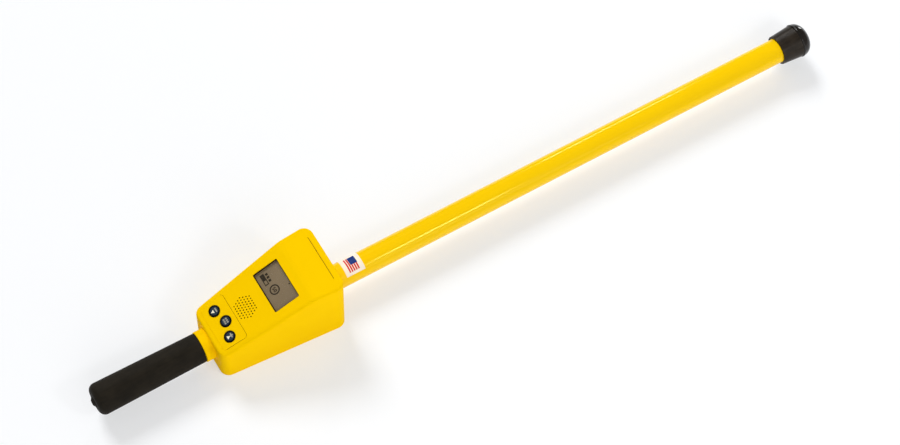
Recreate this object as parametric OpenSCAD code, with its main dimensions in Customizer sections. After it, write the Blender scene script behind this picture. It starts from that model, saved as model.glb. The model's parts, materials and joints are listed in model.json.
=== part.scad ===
// Magnetic locator for surveyors: a wedge-shaped control housing on a long sensor tube,
// with a rear grip and a rubber tip. All sizes are in millimetres.
// Frame: +X along the tube to the tip, +Z up out of the display, origin in the middle of the base.

/* [Tube] */
// Outside diameter of the sensor tube
tube_d = 33.4; // [31:0.1:35]
// Wall of the sensor tube
tube_wall = 2.2; // [1.5:0.1:3]
// Free length of tube from the housing to the rim of the tip cap
tube_free = 678.6; // [620:0.1:760]
// Height of the tube's axis over the base
axis_h = 34.3; // [33:0.1:38]

/* [Tip cap] */
// Length of the rubber cap
cap_len = 44.5; // [42:0.5:60]
// Outside diameter at the rim
cap_rim_d = 37; // [36:0.1:40]
// Outside diameter at the foot
cap_foot_d = 46.4; // [44.5:0.1:50]
// Thickness of the rubber under the tube's end
cap_floor = 8; // [5:0.5:12]

/* [Grip] */
// Length of the grip
grip_len = 150.3; // [130:0.1:170]
// Diameter at the collar
grip_front_d = 38; // [37:0.1:40]
// Diameter at the butt
grip_butt_d = 41.6; // [40:0.1:45]
// Rounding of the butt's edge
grip_round = 9; // [6:0.5:12]
// Thickness of the grip behind the tube
grip_end = 7; // [5:0.5:10]
// Diameter of the collar between housing and grip
collar_d = 41.2; // [40:0.1:44]
// Length of the collar
collar_len = 9.2; // [6:0.1:16]

/* [Housing] */
// Length of the housing
housing_len = 171.4; // [168:0.1:182]
// Width at the handle end
narrow_w = 77; // [74:0.5:84]
// Width at the tube end
wide_w = 101; // [97:0.5:112]
// Height of the control face over the tube axis at the handle end
face_low = 25.6; // [25:0.1:28]
// Height of the flat top over the tube axis
face_high = 75; // [73:0.5:79]
// Length of the flat top
flat_len = 43.2; // [41:0.1:48]
// Wall thickness
wall = 3; // [2.6:0.1:3.4]
// Rounding of the upright corners
corner_r = 12.5; // [11:0.5:15]
// Rounding of the top edges
edge_r = 4; // [4:0.1:6]
// Rounding of the bend between slope and flat top
ridge_r = 30; // [20:1:36]

/* [Keypad] */
// Lower end of the overlay, measured up the slope
overlay_from = 7; // [6:0.1:9]
// Upper end of the overlay
overlay_to = 41.8; // [40.5:0.1:42.5]
// Margin between the overlay and the side of the face
overlay_margin = 7.3; // [5:0.1:8]
// Thickness of the overlay
overlay_t = 0.8; // [0.5:0.1:1.2]
// Diameter of a button
button_d = 15; // [13:0.1:16]
// Place of the outer buttons up the slope
button_row = 22.2; // [21.5:0.1:23]
// Place of the middle button up the slope
button_mid = 27.9; // [27:0.1:28.5]
// Distance of the outer buttons from the middle line
button_side = 20.1; // [19.6:0.1:20.6]
// Height of a button over the face
button_rise = 0.8; // [0.4:0.1:1.4]
// Travel of a button
button_travel = 0.6; // [0.4:0.05:0.8]

/* [Sounder] */
// Middle of the grille, measured up the slope
sounder_at = 58.2; // [57.5:0.1:59.5]
// Diameter of a grille hole
grille_hole_d = 1.8; // [1.4:0.1:2.2]
// Spacing of the rows of holes up the slope
grille_step = 3.87; // [3.6:0.01:4]
// Spacing of the holes across the slope
grille_pitch = 3.7; // [3.4:0.01:3.9]
// Diameter of the sounder case
sounder_d = 33; // [32:0.5:33.5]
// Depth of the sounder case
sounder_h = 9; // [6:0.5:11]

/* [Display] */
// Lower edge of the display opening, measured up the slope
display_from = 86.7; // [86:0.1:88]
// Length of the display opening up the slope
display_len = 36.6; // [34:0.1:37.5]
// Width of the display opening
display_w = 59.4; // [56:0.1:61]
// Depth of the window under the face
window_depth = 1.4; // [1:0.1:1.8]

/* [Base and battery] */
// Thickness of the base plate
base_t = 5.5; // [5.2:0.1:6.5]
// Length of the battery bay
bay_len = 57; // [54:0.5:62]
// Width of the battery bay
bay_w = 56; // [50:0.5:62]
// Thickness of the battery door
door_t = 2.4; // [2.2:0.1:2.6]
// Thickness of a battery
battery_h = 17.5; // [15.5:0.1:18]

/* [Sensors] */
// Distance between the two sensor coils
sensor_spacing = 508; // [440:1:520]
// Length of a sensor coil
sensor_len = 60; // [40:1:70]
// Diameter of a sensor coil
sensor_d = 22; // [18:0.5:24]
// Diameter of the sensor rod
rod_d = 10; // [8:0.5:12]

/* [Hidden] */
$fn = 64;
over = 1;
fit_gap = 0.1;
run_gap = 0.05;
trim_gap = 0.3;

// Heights in the base
door_lift = 0.2;
seal_t = 0.6;
pad_t = 0.8;
pocket_h = door_lift + door_t + seal_t;
battery_z = door_lift + door_t + pad_t + 0.2;
battery_top = battery_z + battery_h;
gasket_t = 1;
seat_z = base_t + gasket_t;
ledge_t = 3;
ledge_w = 7;
base_round = 2;

// Outline of the housing
half_len = housing_len / 2;
narrow_h = axis_h + face_low;
wide_h = axis_h + face_high;
ridge_x = half_len - flat_len;
face_a = atan((wide_h - narrow_h) / (housing_len - flat_len));
taper = atan((wide_w - narrow_w) / 2 / housing_len);
form_fn = 32;

// The control face is laid out on a slope of this length. On another slope the layout keeps its proportions.
layout_len = 137.4;
face_k = (housing_len - flat_len) / cos(face_a) / layout_len;
side_k = min(1, face_k);
pad_from = face_k * overlay_from;
pad_to = face_k * overlay_to;
key_d = side_k * button_d;
speaker_at = face_k * sounder_at;
speaker_d = side_k * sounder_d;
view_from = face_k * display_from;
view_len = face_k * display_len;
view_w = side_k * display_w;

// Battery bay, the batteries that fill it, its door and the door's hinge
bay_x = half_len - 63.7;
battery_len = bay_len - 8.5;
battery_w = bay_w / 2 - 1.5;
battery_y = bay_w / 4;
bay_x0 = bay_x - bay_len / 2;
bay_x1 = bay_x + bay_len / 2;
knuckle_r = 1.9;
knuckle_half = 12;
hinge_x = bay_x0 - 5;
hinge_z = door_lift + knuckle_r;
pin_r = 0.8;
pin_half = 22;
door_x0 = hinge_x + knuckle_r + 0.4;
door_screw_x = bay_x1 + 7.5;
door_x1 = door_screw_x + 6.5;
door_half = bay_w / 2 + 3.5;
door_gap = 0.4;
screw_bore_r = 2.4;
screw_r = 2;
screw_top = 9.5;
tray_wall = 2;
tray_gap = 0.5;
block_t = 5;
terminal_y = 6.35;

// Screws that hold the base
base_screw_inset = 7.2;
base_screw_end = 10;
base_screw_mid = hinge_x - 8.5;
base_screw_top = 20;

// Tube, its ends and its supports
tube_r = tube_d / 2;
bore_r = tube_r - tube_wall;
tip_x = half_len + tube_free;
tube_x1 = tip_x + cap_len - cap_floor;
grip_x1 = -half_len - collar_len;
grip_x0 = grip_x1 - grip_len;
tube_x0 = grip_x0 + grip_end;
spigot_d = collar_d - 2.4;
gland_d = tube_d + 11;
gland_spigot_d = tube_d + 5.2;
gland_t = 4;
washer_t = 1;
strap_x = [-half_len + 26.7, half_len - 14.7];
inner_end = 11;
strap_screw_len = 15;
strap_t = 2.5;
strap_w = 9;
rib_t = 8;
strap_screw_y = tube_r + 7;

// Layers under the control face, as depths
flange_t = 1;
flange_r = key_d / 2 + 1.2;
dome_h = 0.9;
key_board_z = wall + 3.6;
board_t = 1.6;
window_t = 1.6;
window_lip = 2.6;
display_gasket_t = 1;
panel_t = 2.6;
main_board_z = 16;
cloth_t = 0.4;
cloth_z = wall + run_gap + cloth_t;
display_mid = view_from + view_len / 2;
window_len = view_len + 2 * window_lip;
window_w = view_w + 2 * window_lip;

// A place on the control face, as distance up the slope and across it
function on_layout(s, y) = [face_k * s, side_k * y];

// Middle points of buttons and of board screws
buttons = [for (p = [[button_row, 1], [button_mid, 0], [button_row, -1]]) on_layout(p.x, p.y * button_side)];
key_screws = [for (p = [[11, 25], [36.5, 25.5]], m = [-1, 1]) on_layout(p.x, m * p.y)];
key_screw_len = 4.6;
main_screw_y = side_k * 33.5;
main_screws = [for (s = [view_from - 7 * face_k, view_from + view_len + 6.5 * face_k], m = [-1, 1])
    [s, m * main_screw_y]];
main_screw_len = 10;
grille_rows = [6, 7, 8, 9, 8, 7, 6];

// Sensors in the tube
plug_len = 25;
plug_x = tube_x1 - plug_len;
low_sensor_x = plug_x - 8 - sensor_len / 2;
high_sensor_x = low_sensor_x - sensor_spacing;
tube_inner = strap_x[1] - inner_end;
rod_x0 = (tube_inner + high_sensor_x - sensor_len / 2) / 2;
spacer_len = 14;
// Middles of the spacers: one before the upper sensor and three between the sensors
spacer_gap = (sensor_spacing - sensor_len) / 4;
spacer_mids = [
    (rod_x0 + high_sensor_x - sensor_len / 2) / 2,
    for (k = [1:3]) high_sensor_x + sensor_len / 2 + k * spacer_gap];

// Lead sizes
sensor_lead_d = 4;
battery_lead_d = 3;
sounder_lead_d = 2;
socket_h = 6;
lead_gap = 0.15;
socket_z = main_board_z + board_t + socket_h + lead_gap;
sensor_socket = on_layout(113, 0);
battery_socket = on_layout(113, 24);
sounder_socket = on_layout(85, 8);

// Half width of the housing's sharp outline at x
function side_at(x) = narrow_w / 2 + (x + half_len) * tan(taper);

// A point in the frame, given up the slope, across it and under the face
function face_point(s, y, depth) = [
    -half_len + s * cos(face_a) + depth * sin(face_a),
    y,
    narrow_h + s * sin(face_a) - depth * cos(face_a)];

// Half width of the overlay at a place up the slope
function overlay_half(s) = side_at(-half_len + s * cos(face_a)) - overlay_margin;

// Middle points of the six base screws
function base_screw_points() = [
    for (x = [-half_len + base_screw_end, half_len - base_screw_end], m = [-1, 1])
        [x, m * (side_at(x) - base_screw_inset - 2.5)],
    for (m = [-1, 1])
        [base_screw_mid, m * (side_at(base_screw_mid) - base_screw_inset)]];

// Points of an arc, for outlines that are turned
function arc(c, r, from, to, n = 12) = [for (i = [0:n])
    let (t = from + (to - from) * i / n) [c.x + r * cos(t), c.y + r * sin(t)]];

// Smooth run of points through a lead's own points
function run_between(p, i, t) =
    let (a = p[max(i - 1, 0)], b = p[i], c = p[i + 1], d = p[min(i + 2, len(p) - 1)])
    0.5 * (2 * b + (c - a) * t + (2 * a - 5 * b + 4 * c - d) * t * t + (3 * b - a - 3 * c + d) * t * t * t);
function run_of(p, steps = 2) = [
    for (i = [0:len(p) - 2], k = [0:steps - 1]) run_between(p, i, k / steps),
    p[len(p) - 1]];
function heading(p, i) =
    let (v = p[min(i + 1, len(p) - 1)] - p[max(i - 1, 0)]) v / norm(v);

// A lead of round section along its points
module lead(points, d, sides = 8) {
    p = run_of(points);
    rings = [for (i = [0:len(p) - 1])
        let (t = heading(p, i), u0 = cross(t, [0, 1, 0]), u = u0 / norm(u0), v = cross(t, u))
        for (k = [0:sides - 1])
            p[i] + d / 2 * (cos(360 * k / sides) * u + sin(360 * k / sides) * v)];
    last = sides * (len(p) - 1);
    polyhedron(rings, concat(
        [[for (k = [0:sides - 1]) k]],
        [[for (k = [sides - 1:-1:0]) last + k]],
        [for (i = [0:len(p) - 2], k = [0:sides - 1])
            [i * sides + k, (i + 1) * sides + k, (i + 1) * sides + (k + 1) % sides,
                i * sides + (k + 1) % sides]]));
}

// Symmetrical trapezoid with rounded corners, from x0 to x1 with half widths w0 and w1
module trapezoid(x0, x1, w0, w1, r) {
    t = atan((w1 - w0) / (x1 - x0));
    y0 = w0 + r * tan(t) - r / cos(t);
    y1 = w1 - r * tan(t) - r / cos(t);
    polygon(concat(
        arc([x1 - r, y1], r, 0, 90 + t, 8),
        arc([x0 + r, y0], r, 90 + t, 180, 8),
        arc([x0 + r, -y0], r, 180, 270 - t, 8),
        arc([x1 - r, -y1], r, 270 - t, 360, 8)));
}

// Outline of the housing from above, moved in by inset
module plan(inset) {
    trapezoid(-half_len + inset, half_len - inset,
        side_at(-half_len + inset) - inset / cos(taper), side_at(half_len - inset) - inset / cos(taper),
        max(corner_r - inset, 1.5));
}

// Rectangle with rounded corners, centred
module round_rect(l, w, r) {
    trapezoid(-l / 2, l / 2, w / 2, w / 2, r);
}

// Ball and ring that round the housing's corners
module ball(r) {
    rotate_extrude($fn = form_fn)
        intersection() {
            circle(r, $fn = form_fn);
            translate([0, -r])
                square([r, 2 * r]);
        }
}

module ring(middle_r, r) {
    rotate_extrude($fn = form_fn)
        translate([middle_r, 0])
            circle(r, $fn = form_fn);
}

// Solid form of the housing, moved in by inset, standing on floor_z
module housing_form(inset, floor_z) {
    r = edge_r - inset;
    y0 = side_at(-half_len + corner_r) - corner_r / cos(taper);
    y1 = side_at(half_len - corner_r) - corner_r / cos(taper);
    low_z = narrow_h - edge_r * (1 / cos(face_a) - tan(face_a));
    foot_r = inset > 0 ? 0.5 : base_round;
    arc_x = ridge_x + ridge_r * tan(face_a / 2);
    hull()
        for (m = [-1, 1]) {
            translate([-half_len + corner_r, m * y0, low_z])
                ring(corner_r - edge_r, r);
            translate([half_len - corner_r, m * y1, wide_h - edge_r])
                ring(corner_r - edge_r, r);
            for (i = [0:4]) {
                x = arc_x - (ridge_r - edge_r) * sin(face_a * i / 4);
                translate([x, m * (side_at(x) - edge_r / cos(taper)),
                        wide_h - ridge_r + (ridge_r - edge_r) * cos(face_a * i / 4)])
                    ball(r);
            }
            translate([-half_len + corner_r, m * y0, floor_z + foot_r])
                ring(corner_r - inset - foot_r, foot_r);
            translate([half_len - corner_r, m * y1, floor_z + foot_r])
                ring(corner_r - inset - foot_r, foot_r);
        }
}

// Frame of the control face: x up the slope, z out of the face
module on_face() {
    translate([-half_len, 0, narrow_h])
        rotate([0, -face_a, 0])
            children();
}

// Turned solids and bores along the tube's axis
module along_tube(x = 0) {
    translate([x, 0, axis_h])
        rotate([0, 90, 0])
            children();
}

// Pan-head screw, head down, shank up from the origin
module pan_screw(d, len) {
    difference() {
        union() {
            cylinder(d = d, h = len);
            translate([0, 0, -0.6 * d])
                cylinder(d = 1.9 * d, h = 0.6 * d);
        }
        for (a = [0, 90])
            rotate([0, 0, a])
                translate([0, 0, -0.6 * d])
                    cube([d, 0.25 * d, 0.6 * d], center = true);
    }
}

// Overlay outline, with a gap all round
module overlay_outline(gap) {
    trapezoid(pad_from - gap, pad_to + gap,
        overlay_half(pad_from) + gap, overlay_half(pad_to) + gap, 4 + gap);
}

// Bosses and ribs inside the shell
module shell_supports() {
    for (p = base_screw_points())
        translate([p.x, p.y, seat_z])
            cylinder(d = 9, h = base_screw_top + 2 - seat_z);
    on_face() {
        for (p = key_screws)
            translate([p.x, p.y, -key_board_z])
                cylinder(d = 5.6, h = key_board_z - wall / 2);
        for (p = main_screws)
            translate([p.x, p.y, -main_board_z])
                cylinder(d = 6.4, h = main_board_z - wall / 2);
        translate([speaker_at, 0, -wall - 4])
            difference() {
                cylinder(d = speaker_d + 3, h = 4 + wall / 2);
                translate([0, 0, -over])
                    cylinder(d = speaker_d + 2 * fit_gap, h = over + 4);
            }
    }
    for (x = strap_x)
        translate([x - rib_t / 2, -side_at(x), axis_h])
            cube([rib_t, 2 * side_at(x), tube_r + 2.5]);
}

module grille_holes() {
    for (i = [0:len(grille_rows) - 1], k = [0:grille_rows[i] - 1])
        translate([speaker_at + (i - 3) * side_k * grille_step,
                (k - (grille_rows[i] - 1) / 2) * side_k * grille_pitch, -wall - over])
            cylinder(d = side_k * grille_hole_d, h = wall + 2 * over);
}

// Room round the battery tray, where it would meet the ledge and the gasket
module tray_room() {
    l = bay_len + 2 * (tray_wall + tray_gap);
    w = bay_w + 2 * (tray_wall + tray_gap);
    translate([bay_x - l / 2, -w / 2, base_t - over])
        cube([l, w, seat_z + ledge_t + 2 * over - base_t]);
}

module housing_shell() {
    color("#f5c400")
        difference() {
            union() {
                difference() {
                    housing_form(0, 0);
                    housing_form(wall, seat_z + ledge_t);
                    translate([0, 0, seat_z - over])
                        linear_extrude(ledge_t + 2 * over)
                            plan(wall + ledge_w);
                    translate([0, 0, -over])
                        linear_extrude(seat_z + over)
                            plan(wall);
                    tray_room();
                }
                intersection() {
                    housing_form(wall / 2, seat_z);
                    shell_supports();
                }
            }
            along_tube(-half_len - over)
                cylinder(d = spigot_d + 2 * fit_gap, h = wall + 2 * over);
            along_tube(half_len - wall - over)
                cylinder(d = gland_spigot_d + 2 * fit_gap, h = wall + 2 * over);
            for (x = strap_x) {
                along_tube(x - rib_t)
                    cylinder(r = tube_r + fit_gap, h = 2 * rib_t);
                for (m = [-1, 1])
                    translate([x, m * strap_screw_y, axis_h - over])
                        cylinder(r = 1.5 + fit_gap, h = strap_screw_len - 3 + over);
            }
            for (p = base_screw_points())
                translate([p.x, p.y, seat_z - over])
                    cylinder(r = 1.5 + fit_gap, h = base_screw_top - seat_z + over);
            on_face() {
                translate([0, 0, -overlay_t])
                    linear_extrude(overlay_t + over)
                        overlay_outline(trim_gap);
                for (p = buttons)
                    translate([p.x, p.y, -wall - over])
                        cylinder(d = key_d + 2 * trim_gap, h = wall + 2 * over);
                grille_holes();
                translate([display_mid, 0, -wall - over])
                    linear_extrude(wall + 2 * over)
                        round_rect(view_len, view_w, 1.5);
                translate([display_mid, 0, -wall - over])
                    linear_extrude(wall + over - window_depth)
                        round_rect(window_len + 2 * fit_gap, window_w + 2 * fit_gap, 2.5);
                for (p = key_screws)
                    translate([p.x, p.y, -key_board_z - over])
                        cylinder(r = 1 + fit_gap, h = key_screw_len - 1 + over);
                for (p = main_screws)
                    translate([p.x, p.y, -main_board_z - over])
                        cylinder(r = 1.25 + fit_gap, h = main_screw_len + over);
            }
            top_plate_form(trim_gap);
        }
}

// Thin plate let into the flat top
module top_plate_form(gap) {
    from = ridge_x + 8;
    to = half_len - 8.9;
    translate([(from + to) / 2, 0, wide_h - 0.5])
        linear_extrude(gap > 0 ? over : 0.5)
            round_rect(to - from + 2 * gap, 68 + 2 * gap, 2 + gap);
}

module top_plate() {
    color("#ffd21a")
        top_plate_form(0);
}

module keypad_overlay() {
    color("#ffcf10")
        on_face()
            translate([0, 0, -overlay_t])
                difference() {
                    linear_extrude(overlay_t)
                        overlay_outline(0);
                    for (p = buttons)
                        translate([p.x, p.y, -over])
                            cylinder(d = key_d + 2 * trim_gap, h = overlay_t + 2 * over);
                }
}

// One button: cap, flange under the wall and stem over its dome
module button(i) {
    stem_end = key_board_z - dome_h - button_travel - run_gap;
    color("#1a1c2e")
        on_face()
            translate([buttons[i].x, buttons[i].y, 0]) {
                translate([0, 0, -stem_end])
                    cylinder(d = 5, h = stem_end);
                translate([0, 0, -wall - run_gap - flange_t])
                    cylinder(r = flange_r, h = flange_t);
                translate([0, 0, -wall - run_gap - flange_t])
                    cylinder(d = key_d, h = wall + run_gap + flange_t + button_rise - 0.4);
                translate([0, 0, button_rise - 0.4])
                    cylinder(d1 = key_d, d2 = key_d - 1.2, h = 0.4);
            }
}

module button_left() {
    button(0);
}

module button_middle() {
    button(1);
}

module button_right() {
    button(2);
}

module display_window() {
    color("#c8d2c8", 0.4)
        on_face()
            translate([display_mid, 0, -window_depth - window_t])
                linear_extrude(window_t)
                    round_rect(window_len, window_w, 2.5);
}

// Frame-shaped layer under the window
module display_gasket() {
    color("#202020")
        on_face()
            translate([display_mid, 0, -window_depth - window_t - display_gasket_t])
                linear_extrude(display_gasket_t)
                    difference() {
                        round_rect(window_len - 1, window_w - 1, 2);
                        round_rect(view_len - 0.6, view_w - 0.6, 1);
                    }
}

// Depths of the display's panel and board
panel_z = window_depth + window_t + display_gasket_t + panel_t;
display_board_z = panel_z + board_t;

module display_panel() {
    color("#8d9284")
        on_face()
            translate([display_mid, 0, -panel_z])
                linear_extrude(panel_t)
                    round_rect(window_len - 1.4, window_w - 1.4, 0.8);
}

module display_board() {
    color("#1f5b35")
        on_face()
            translate([display_mid, 0, -display_board_z])
                linear_extrude(board_t)
                    round_rect(window_len, window_w, 1);
}

module display_spacers() {
    color("#e8e4d8")
        on_face()
            for (a = [-1, 1], b = [-1, 1])
                translate([display_mid + a * (window_len / 2 - 4), b * (window_w / 2 - 4), -main_board_z])
                    cylinder(d = 5, h = main_board_z - display_board_z);
}

module keypad_board() {
    color("#1f5b35")
        on_face()
            translate([0, 0, -key_board_z - board_t])
                difference() {
                    translate([face_k * 23.5, 0, 0])
                        linear_extrude(board_t)
                            round_rect(face_k * 31.5, side_k * 57, 2);
                    for (p = key_screws)
                        translate([p.x, p.y, -over])
                            cylinder(r = 1 + fit_gap, h = board_t + 2 * over);
                }
}

module key_domes() {
    color("#c9c9c4")
        on_face()
            for (p = buttons)
                translate([p.x, p.y, -key_board_z])
                    cylinder(d1 = 8, d2 = 4, h = dome_h);
}

module keypad_screws() {
    color("#b8bcc0")
        on_face()
            for (p = key_screws)
                translate([p.x, p.y, -key_board_z - board_t])
                    pan_screw(2, key_screw_len);
}

// Flat ribbon from the keypad board to the main board, past the sounder
module keypad_ribbon() {
    ribbon_t = 0.4;
    z0 = -key_board_z - board_t;
    z1 = -main_board_z - board_t;
    run = [[33, z0], [44, z0], [60, z1 - 1.6], [74, z1], [86, z1]];
    color("#d8d8d2")
        on_face()
            translate([0, side_k * 23, 0])
                rotate([90, 0, 0])
                    linear_extrude(side_k * 7)
                        polygon(concat(
                            [for (p = run) [face_k * p.x, p.y]],
                            [for (i = [len(run) - 1:-1:0]) [face_k * run[i].x, run[i].y - ribbon_t]]));
}

// The main board hangs under the display on four bosses
main_len = main_screws[2].x - main_screws[0].x + 7;
main_mid = (main_screws[2].x + main_screws[0].x) / 2;

module main_board() {
    color("#1f5b35")
        on_face()
            translate([0, 0, -main_board_z - board_t])
                difference() {
                    translate([main_mid, 0, 0])
                        linear_extrude(board_t)
                            round_rect(main_len, 2 * main_screw_y + 7, 2);
                    for (p = main_screws)
                        translate([p.x, p.y, -over])
                            cylinder(r = 1.25 + fit_gap, h = board_t + 2 * over);
                }
}

module board_chips() {
    color("#23252a")
        on_face() {
            for (c = [[-4, 4, 14, 14], [4, -22, 10, 6], [-12, -20, 8, 8]])
                translate([main_mid + face_k * c[0], side_k * c[1], -main_board_z - board_t - 1])
                    cube([side_k * c[2], side_k * c[3], 2], center = true);
            for (k = [0:2])
                translate([main_mid + face_k * 16, -side_k * (16 + 7 * k), -main_board_z - board_t - 7])
                    cylinder(d = side_k * 5.5, h = 7);
        }
}

module board_sockets() {
    color("#efece0")
        on_face()
            for (p = [sensor_socket, battery_socket, sounder_socket])
                translate([p.x, p.y, -main_board_z - board_t - socket_h / 2])
                    cube([6, 9, socket_h], center = true);
}

module main_board_screws() {
    color("#b8bcc0")
        on_face()
            for (p = main_screws)
                translate([p.x, p.y, -main_board_z - board_t])
                    pan_screw(2.5, main_screw_len);
}

module sounder_cloth() {
    color("#303034")
        on_face()
            translate([speaker_at, 0, -cloth_z])
                cylinder(d = speaker_d, h = cloth_t);
}

module sounder_case() {
    color("#26262a")
        on_face()
            translate([speaker_at, 0, -cloth_z - sounder_h])
                difference() {
                    cylinder(d = speaker_d, h = sounder_h);
                    translate([0, 0, 1.6])
                        cylinder(d = speaker_d - 6, h = sounder_h);
                    translate([0, 0, sounder_h / 2])
                        cylinder(d = speaker_d - 3, h = 0.6);
                }
}

module sounder_disc() {
    color("#c7a24a")
        on_face()
            translate([speaker_at, 0, -cloth_z - sounder_h / 2])
                cylinder(d = speaker_d - 3 - 2 * run_gap, h = 0.5);
}

module base_plate() {
    color("#eebd00")
        difference() {
            union() {
                difference() {
                    linear_extrude(base_t)
                        plan(wall + trim_gap);
                    translate([hinge_x - knuckle_r - 0.6, -door_half - door_gap, -over])
                        cube([door_x1 + door_gap - hinge_x + knuckle_r + 0.6, 2 * (door_half + door_gap),
                            pocket_h + over]);
                }
                translate([door_screw_x, 0, pocket_h])
                    cylinder(r = 5, h = screw_top + 4.5 - pocket_h);
                for (m = [-1, 1])
                    translate([hinge_x, m * (knuckle_half + trim_gap + 6), hinge_z])
                        rotate([90, 0, 0])
                            cylinder(r = knuckle_r, h = 12, center = true);
            }
            translate([hinge_x - knuckle_r - 0.6, -knuckle_half - trim_gap, -over])
                cube([2 * knuckle_r + 1.2, 2 * (knuckle_half + trim_gap), hinge_z + knuckle_r + 0.3 + over]);
            translate([bay_x0, -bay_w / 2, -over])
                cube([bay_len, bay_w, base_t + 2 * over]);
            translate([hinge_x, 0, hinge_z])
                rotate([90, 0, 0])
                    cylinder(r = pin_r + 0.02, h = 2 * pin_half + 0.4, center = true);
            translate([door_screw_x, 0, pocket_h - over])
                cylinder(d = 8.6, h = over + 1.6);
            translate([door_screw_x, 0, pocket_h - over])
                cylinder(r = screw_bore_r, h = over + screw_top + 2 - pocket_h);
            for (p = base_screw_points())
                translate([p.x, p.y, 0]) {
                    translate([0, 0, -over])
                        cylinder(r = 1.7, h = base_t + 2 * over);
                    translate([0, 0, -0.01])
                        cylinder(r1 = 3.4, r2 = 1.7, h = 1.9);
                }
        }
}

module base_gasket() {
    color("#2a2a2a")
        translate([0, 0, base_t])
            difference() {
                linear_extrude(gasket_t)
                    difference() {
                        plan(wall + 0.5);
                        plan(wall + ledge_w - 0.3);
                    }
                for (p = base_screw_points())
                    translate([p.x, p.y, -over])
                        cylinder(r = 1.7, h = gasket_t + 2 * over);
                translate([0, 0, -base_t])
                    tray_room();
            }
}

module base_screws() {
    color("#b8bcc0")
        for (p = base_screw_points())
            translate([p.x, p.y, 0.2])
                difference() {
                    union() {
                        cylinder(r1 = 3.1, r2 = 1.5, h = 1.7);
                        cylinder(r = 1.5, h = base_screw_top - 1.2);
                    }
                    for (a = [0, 90])
                        rotate([0, 0, a])
                            cube([3.4, 0.8, 1.8], center = true);
                }
}

module battery_door() {
    color("#f2c000")
        difference() {
            union() {
                translate([door_x0, -door_half, door_lift])
                    cube([door_x1 - door_x0, 2 * door_half, door_t]);
                translate([hinge_x, -knuckle_half, door_lift])
                    cube([door_x0 - hinge_x + over, 2 * knuckle_half, door_t]);
                translate([hinge_x, 0, hinge_z])
                    rotate([90, 0, 0])
                        cylinder(r = knuckle_r, h = 2 * knuckle_half, center = true);
            }
            translate([hinge_x, 0, hinge_z])
                rotate([90, 0, 0])
                    cylinder(r = pin_r + run_gap, h = 2 * knuckle_half + 2 * over, center = true);
            translate([door_screw_x, 0, door_lift - over])
                cylinder(d = 10.6, h = over + 1.5);
            translate([door_screw_x, 0, door_lift - over])
                cylinder(r = screw_r + fit_gap, h = door_t + 2 * over);
        }
}

module door_seal() {
    color("#2a2a2a")
        translate([bay_x, 0, door_lift + door_t])
            linear_extrude(seal_t - run_gap)
                difference() {
                    round_rect(bay_len + 4.8, bay_w + 5, 2);
                    round_rect(bay_len + 0.6, bay_w + 0.6, 1);
                }
}

module door_pad() {
    color("#3a3a3a")
        translate([bay_x - 2, 0, door_lift + door_t])
            linear_extrude(pad_t)
                round_rect(bay_len - 8, bay_w - 4, 1.5);
}

module door_hinge_pin() {
    color("#c4c8cc")
        translate([hinge_x, 0, hinge_z])
            rotate([90, 0, 0])
                cylinder(r = pin_r, h = 2 * pin_half, center = true);
}

module door_screw() {
    color("#b8bcc0")
        translate([door_screw_x, 0, 0])
            difference() {
                union() {
                    translate([0, 0, 0.35])
                        cylinder(d = 10, h = 1.3);
                    translate([0, 0, 0.5])
                        cylinder(r = screw_r, h = screw_top - 0.5);
                }
                translate([0, 0, 0.35])
                    cube([11, 1.6, 1.4], center = true);
            }
}

// Ring that keeps the screw in the door
module door_screw_ring() {
    color("#3c3f44")
        translate([door_screw_x, 0, door_lift + door_t + run_gap])
            difference() {
                cylinder(d = 7.6, h = 0.8);
                translate([0, 0, -over])
                    cylinder(r = screw_r + 0.01, h = 3);
            }
}

module battery_tray() {
    color("#2d2f33")
        translate([bay_x0, 0, base_t]) {
            for (m = [-1, 1]) {
                translate([-tray_wall, m * (bay_w + tray_wall) / 2 - tray_wall / 2, 0])
                    cube([bay_len + 2 * tray_wall, tray_wall, battery_top + 1.2 - base_t]);
                translate([0, m * (bay_w / 2 - 1) - 1.5, battery_top + 0.2 - base_t])
                    cube([battery_len, 3, 1]);
            }
            for (x = [-tray_wall, bay_len])
                translate([x, -bay_w / 2 - over, 0])
                    cube([tray_wall, bay_w + 2 * over, battery_top - 2 - base_t]);
        }
}

module contact_block() {
    color("#d9d6c8")
        translate([bay_x1 - block_t, -bay_w / 2 + 0.2, base_t])
            cube([block_t, bay_w - 0.4, battery_top - 3 - base_t]);
}

// Places of the four battery terminals
function terminal_points() = [for (m = [-1, 1], k = [-1, 1])
    [m * battery_y + k * terminal_y, battery_z + battery_h / 2]];

module battery_contacts() {
    color("#d2b25a")
        for (p = terminal_points())
            translate([bay_x0 + 0.5 + battery_len + run_gap, p.x, p.y])
                rotate([0, 90, 0])
                    cylinder(d = 7, h = bay_len - block_t - battery_len - 0.5 - run_gap);
}

// One nine-volt battery with its two terminals toward the contact block
module battery(m) {
    body_len = battery_len - 2.1;
    translate([bay_x0 + 0.5, m * battery_y - battery_w / 2, battery_z])
        cube([body_len, battery_w, battery_h]);
    for (k = [-1, 1])
        translate([bay_x0 + 0.5 + body_len - over, m * battery_y + k * terminal_y, battery_z + battery_h / 2])
            rotate([0, 90, 0])
                cylinder(d = k > 0 ? 5.8 : 8.2, h = 2.1 + over);
}

module battery_left() {
    color("#2b4a7a")
        battery(1);
}

module battery_right() {
    color("#2b4a7a")
        battery(-1);
}

// A length of tube on the common axis
module pipe(from, to) {
    along_tube(from)
        difference() {
            cylinder(r = tube_r, h = to - from);
            translate([0, 0, -over])
                cylinder(r = bore_r, h = to - from + 2 * over);
        }
}

module sensor_tube() {
    color("#f5c400")
        pipe(tube_inner, tube_x1);
}

module handle_tube() {
    color("#f5c400")
        pipe(tube_x0, strap_x[0] + inner_end);
}

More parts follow.
